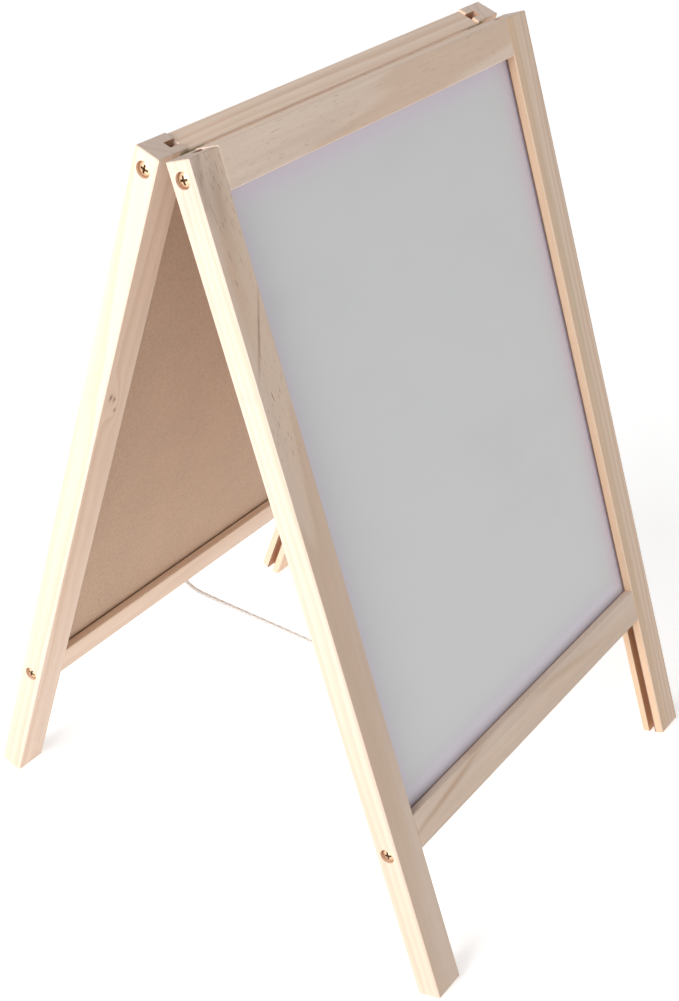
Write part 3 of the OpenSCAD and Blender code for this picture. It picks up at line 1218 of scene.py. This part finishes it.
@dataclass
class StayCord:
    """Braided cotton cord that holds the two frames at their spread."""

    spaces: dict[Face, LeaningSpace]
    diameter: float = 0.003
    strands: int = 4
    pitch: float = 0.0072
    relief: float = 0.00025
    spacing: float = 0.0003
    sides: int = 40
    crossing: float = 0.3
    round_off: float = 0.8
    tip: float = 0.0009
    tip_share: float = 0.25
    route_steps: int = 12
    length: float = 0.291

    def build(self) -> bpy.types.Object:
        """Makes the cord along its route and puts it on the front frame.

        Returns:
            The cord's object.
        """
        route = smooth_route(CORD_ROUTE, self.route_steps)
        path, distance = respaced(route, round(self.length / self.spacing))
        rings, groove = self._rings(path, distance)
        ends = np.stack([path[0], path[-1]])
        mesh = tube_mesh("braided_cord", rings, ends)
        self._mark(mesh, distance, groove)
        piece = bpy.data.objects.new("braided_cord", mesh)
        bpy.context.scene.collection.objects.link(piece)
        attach(piece, Face.FRONT.body)
        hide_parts("stay_cord")
        self._fold(piece)
        piece.data.materials.append(Cotton("cotton_braid").dress(4.0 / self.pitch))
        LOG.info("braided_cord: %.0f mm, %d faces", 1000 * distance[-1], len(mesh.polygons))
        return piece

    def _rings(self, path: np.ndarray, distance: np.ndarray) -> tuple[np.ndarray, np.ndarray]:
        """Works out the braid's surface.

        Two families of strands wind opposite ways: their phases are strands * angle plus and
        minus 2 pi * distance / pitch. A strand stands highest where the cosine of half its phase
        is 1 either way, and where two cross, the sign of the two cosines' product says which one
        lies on top. The higher strand gives the surface, and the ends close over the tip.

        Args:
            path: the cord's centre line, one row for each ring.
            distance: each ring's distance from the start.

        Returns:
            The rings' points, and how deep each lies in a groove, from 0 to 1.
        """
        angle = np.arange(self.sides) * (math.tau / self.sides)
        wind = (math.tau / self.pitch) * distance[:, None]
        right = np.cos((self.strands * angle + wind) / 2)
        left = np.cos((self.strands * angle - wind) / 2)
        over = self.crossing * right * left
        strand = np.abs(right) ** self.round_off * (1 + over)
        other = np.abs(left) ** self.round_off * (1 - over)
        crown = np.maximum(strand, other) / (1 + self.crossing)
        depth = np.clip(1 - crown, 0, 1)
        closing = np.clip(np.minimum(distance, distance[-1] - distance) / self.tip, 0, 1)
        fused = np.sqrt(1 - (1 - closing) ** 2)[:, None]
        closed = self.tip_share + (1 - self.tip_share) * fused
        radius = (self.diameter / 2 - self.relief * depth * fused) * closed
        heading = np.gradient(path, axis=0)
        heading /= np.linalg.norm(heading, axis=1, keepdims=True)
        sideways = np.broadcast_to((1.0, 0.0, 0.0), heading.shape)
        upward = np.cross(sideways, heading)
        cosine, sine = (turn(angle)[None, :, None] for turn in (np.cos, np.sin))
        spoke = cosine * sideways[:, None] + sine * upward[:, None]
        return path[:, None] + radius[:, :, None] * spoke, depth / depth.max()

    def _mark(self, mesh: bpy.types.Mesh, distance: np.ndarray, groove: np.ndarray) -> None:
        """Writes the groove attribute and a UV map of turns round the cord and metres along it.

        Args:
            mesh: the cord's mesh.
            distance: each ring's distance from the start.
            groove: how deep each ring's points lie in a groove.
        """
        attribute = mesh.attributes.new(Cotton.groove_attribute, "FLOAT", "POINT")
        depths = np.append(groove.ravel(), (1.0, 1.0)).astype(np.float32)
        attribute.data.foreach_set("value", depths)
        turns = np.tile(np.arange(self.sides) / self.sides, len(distance))
        metres = np.repeat(distance, self.sides)
        place = np.column_stack([np.append(turns, (0, 0)), np.append(metres, (0, distance[-1]))])
        corner = np.empty(len(mesh.loops), int)
        mesh.loops.foreach_get("vertex_index", corner)
        layer = mesh.uv_layers.new(name="along_cord")
        layer.uv.foreach_set("vector", place[corner].astype(np.float32).ravel())

    def _fold(self, piece: bpy.types.Object) -> None:
        """Works out the share of the cord that the folded easel would keep, and gives the cord its
        own mesh; the cord itself does not move.

        The folded easel brings the rear fixing to the front one, across the two frames'
        thickness, so the cord would keep the share of its length that this gap is. The share is
        not used.

        Args:
            piece: the cord's object.
        """
        front, rear = (self._fixing(face) for face in (Face.FRONT, Face.REAR))
        hinge = self.spaces[Face.REAR].pin
        closing = Matrix.Rotation(-2 * self.spaces[Face.REAR].half_spread, 3, "X")
        closed = closing @ (rear - hinge) + hinge
        across, gap = rear - front, closed - front
        axis = (across - gap).normalized()
        keep = 1 - (across - gap).length / across.dot(axis)
        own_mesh(piece)

    def _fixing(self, face: Face) -> Vector:
        """The point of the route under one frame's staple."""
        return Vector(CORD_ROUTE[1 if face is Face.FRONT else -2])


# ---------------------------------------------------------------- studio


@dataclass(frozen=True)
class Viewpoint:
    """A camera's place, its turns about X, Y and Z in degrees, and its lens."""

    place: Triple = (-0.7007, -0.4920, 0.7424)
    turns: Triple = (56.72, -0.15, -54.09)
    lens: float = 57.21
    shift: tuple[float, float] = (0.009, 0.0267)

    def build(self) -> None:
        """Makes the camera and sets it as the scene's own."""
        data = bpy.data.cameras.new("camera")
        data.lens = self.lens
        data.shift_x, data.shift_y = self.shift
        camera = bpy.data.objects.new("camera", data)
        camera.location = self.place
        camera.rotation_euler = [math.radians(turn) for turn in self.turns]
        bpy.context.scene.collection.objects.link(camera)
        bpy.context.scene.camera = camera


@dataclass(frozen=True)
class Studio:
    """Plain pale floor, a broad light and a near lamp on the left, and a white surround.

    Sizes are in metres, and the breadth of the key light is in degrees.
    """

    floor_half: float = 40.0
    floor_colour: Colour = (0.9, 0.9, 0.9)
    floor_glow: float = 0.5
    horizon: float = 0.98
    zenith: float = 0.355
    fade_height: float = 0.15
    key_from: Triple = (-0.85, 0.16, 0.46)
    key_breadth: float = 50.0
    key_strength: float = 1.6
    lamp_place: Triple = (-0.95, 0.02, 0.62)
    lamp_size: float = 0.5
    lamp_power: float = 4.6
    lamp_aim: float = 0.8

    def build(self) -> None:
        """Makes the floor, the surround and the lights."""
        bpy.context.scene.view_settings.view_transform = "Standard"
        self._floor()
        self._surround()
        self._key()
        self._lamp()
        LOG.info("studio: floor, surround, key light and lamp")

    def _floor(self) -> None:
        """A square of floor under the easel, faintly luminous as a lit backdrop is."""
        half = self.floor_half
        corners = [(half * x, half * y, 0.0) for x, y in ((-1, -1), (1, -1), (1, 1), (-1, 1))]
        mesh = bpy.data.meshes.new("floor")
        mesh.from_pydata(corners, [], [(0, 1, 2, 3)])
        shader = Shader.material("floor_paper")
        place = shader.node("ShaderNodeTexCoord", output="Object")
        tone = 0.99 + 0.02 * shader.noise(place, (3.0, 3.0, 3.0), 2.0)
        material = shader.surface({
            "Base Color": shader.scaled(self.floor_colour, tone),
            "Roughness": 0.9,
            "Specular IOR Level": 0.1,
            "Emission Color": (1.0, 1.0, 1.0, 1.0),
            "Emission Strength": self.floor_glow,
        })
        mesh.materials.append(material)
        floor = bpy.data.objects.new("floor", mesh)
        bpy.context.scene.collection.objects.link(floor)

    def _surround(self) -> None:
        """A white room that is brightest at the horizon and falls off overhead."""
        world = bpy.data.worlds.new("surround")
        shader = Shader(world)
        _, _, height = shader.split(shader.node("ShaderNodeTexCoord", output="Generated"))
        fade = shader.rise(height, 0.0, self.fade_height)
        glow = self.horizon - (self.horizon - self.zenith) * fade
        sockets = {"Color": (1.0, 1.0, 1.0, 1.0), "Strength": glow}
        white = shader.node("ShaderNodeBackground", sockets=sockets)
        shader.node("ShaderNodeOutputWorld", sockets={"Surface": white})
        bpy.context.scene.world = world

    def _key(self) -> None:
        """A far, broad light from the left."""
        data = bpy.data.lights.new("key", "SUN")
        data.angle = math.radians(self.key_breadth)
        data.energy = self.key_strength
        lamp = bpy.data.objects.new("key", data)
        lamp.rotation_euler = Vector(self.key_from).to_track_quat("Z", "Y").to_euler()
        bpy.context.scene.collection.objects.link(lamp)

    def _lamp(self) -> None:
        """A square lamp close to the left side, aimed at the hinges' end of the easel."""
        data = bpy.data.lights.new("side_lamp", "AREA")
        data.shape = "SQUARE"
        data.size = self.lamp_size
        data.energy = self.lamp_power
        lamp = bpy.data.objects.new("side_lamp", data)
        lamp.location = self.lamp_place
        aim = Vector((CAD_BOX[0][0], 0.0, self.lamp_aim * CAD_BOX[1][2]))
        lamp.rotation_euler = (aim - lamp.location).to_track_quat("-Z", "Y").to_euler()
        bpy.context.scene.collection.objects.link(lamp)


# ---------------------------------------------------------------- the easel


def leaning_spaces() -> dict[Face, LeaningSpace]:
    """Works out the two frames' spaces from the fold joint: its pin, and half of its travel.

    Returns:
        The spaces, by frame.
    """
    fold = frame["joints"][0]
    half_spread = math.radians(fold["range_deg"][1]) / 2
    return {face: LeaningSpace(face, Vector(fold["pos_m"]), half_spread) for face in Face}


FRONT_WOODS = {
    "left_stile": Pine(
        "pine_front_left", (0.006, -0.05), 0.01, warmth=0.5, tone=0.86, flecks=0.75,
        flecked_from=0.03, shift=1.7,
        streaks=(
            Streak(0.24, 0.0066, 0.022, 0.0034, -0.04, (0.42, 0.29, 0.23), 0.5),
            Streak(0.225, -0.001, 0.02, 0.0045, -0.12, (0.44, 0.3, 0.22), 0.5),
            Streak(0.157, -0.0008, 0.018, 0.0009, -0.42, (0.4, 0.22, 0.15), 0.75),
            Streak(0.19, 0.003, 0.034, 0.0055, -0.05, (0.72, 0.49, 0.34), 0.55),
            Streak(-0.06, 0.004, 0.06, 0.003, 0.02, (0.7, 0.52, 0.4), 0.4),
        ),
    ),
    "right_stile": Pine(
        "pine_front_right", (0.045, 0.014), -0.012, 0.0048, warmth=0.5, tone=0.97, heart=0.85,
        shift=5.1,
        streaks=(
            Streak(0.08, 0.0045, 0.13, 0.0022, 0.002, (0.62, 0.5, 0.34), 0.5),
            Streak(-0.12, 0.006, 0.09, 0.003, 0.004, (0.68, 0.49, 0.32), 0.5),
        ),
    ),
    "top_rail": Pine(
        "pine_front_top", (0.01, -0.04), 0.03, 0.006, warmth=0.15, flecks=0.3, shift=9.4,
        streaks=(Streak(-0.05, -0.002, 0.05, 0.004, 0.02, (0.7, 0.52, 0.4), 0.35),),
    ),
    "bottom_rail": Pine(
        "pine_front_bottom", (0.012, -0.05), -0.06, 0.007, warmth=0.45, tone=0.91, shift=3.3,
        streaks=(
            Streak(-0.1, 0.0045, 0.045, 0.0021, 0.15, (0.6, 0.38, 0.24), 0.75),
            Streak(0.04, 0.005, 0.055, 0.0026, -0.12, (0.68, 0.47, 0.32), 0.6),
        ),
    ),
}
REAR_WOODS = {
    "left_stile": Pine(
        "pine_rear_left", (0.03, 0.035), 0.014, warmth=0.4, tone=0.95, shift=7.9,
        knots=(
            Knot(0.094, -0.005, 0.0013), Knot(0.091, -0.0015, 0.001), Knot(0.082, 0.001, 0.0009),
        ),
    ),
    "right_stile": Pine(
        "pine_rear_right", (-0.04, 0.02), -0.014, warmth=0.5, tone=1.12, heart=0.55, shift=2.2,
    ),
    "top_rail": Pine(
        "pine_rear_top", (0.03, 0.04), 0.01, warmth=0.2, tone=1.14, flecks=0.05, shift=6.6,
    ),
    "bottom_rail": Pine(
        "pine_rear_bottom", (-0.01, 0.046), 0.025, 0.006, warmth=0.2, tone=0.98, heart=0.35,
        shift=4.8,
    ),
}


def main() -> None:
    """Builds the camera, the cord, the finishes and the studio, in that order."""
    logging.basicConfig(level=logging.INFO, format="%(name)s: %(message)s")
    spaces = leaning_spaces()
    Viewpoint().build()
    StayCord(spaces).build()
    Timbers(spaces[Face.FRONT], FRONT_WOODS).dress()
    Timbers(spaces[Face.REAR], REAR_WOODS).dress()
    Panel(spaces[Face.FRONT], "white_sheet", WhiteFilm).dress()
    Panel(spaces[Face.REAR], "chalk_sheet", ChalkPaint).dress()
    Fixings(spaces).dress()
    Studio().build()


if __name__ == "__main__":
    main()
